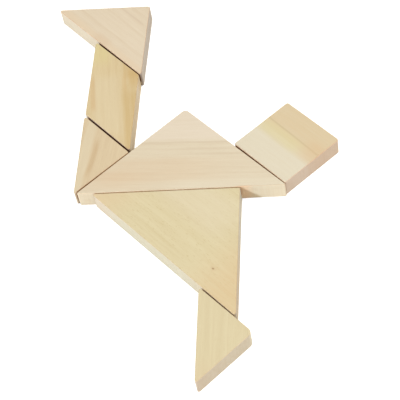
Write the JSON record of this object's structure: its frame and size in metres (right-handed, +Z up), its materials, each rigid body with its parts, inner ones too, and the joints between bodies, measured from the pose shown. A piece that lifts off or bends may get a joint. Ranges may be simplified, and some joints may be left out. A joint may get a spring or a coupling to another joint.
{
  "type": "tangram puzzle",
  "caption": "Wooden tangram dissection puzzle of flat triangles, a square and a parallelogram, laid out edge to edge as a running figure.",
  "frame": {"origin": "on the supporting surface, under the middle of the laid-out figure's box", "axes": "+Z up through the board's thickness; +X along the torso's long side towards the head; +Y away from the viewer, towards the raised foot"},
  "size_m": [0.1424, 0.223, 0.0089],
  "materials": {
    "torso_wood": "bare sanded, warm pinkish cream",
    "thigh_wood": "bare sanded, even pale yellow",
    "head_wood": "bare sanded, pale yellow and tan",
    "knee_wood": "bare sanded, tan with a darker streak",
    "shin_wood": "bare sanded, deeper yellow",
    "raised_foot_wood": "bare sanded, pinkish cream",
    "standing_foot_wood": "bare sanded, pale yellow with fine stripes"
  },
  "bodies": {
    "root": {"torso_large_triangle": "torso_wood", "thigh_large_triangle": "thigh_wood", "head_square": "head_wood", "knee_small_triangle": "knee_wood", "shin_parallelogram": "shin_wood", "raised_foot_medium_triangle": "raised_foot_wood", "standing_foot_small_triangle": "standing_foot_wood"}
  },
  "joints": []
}
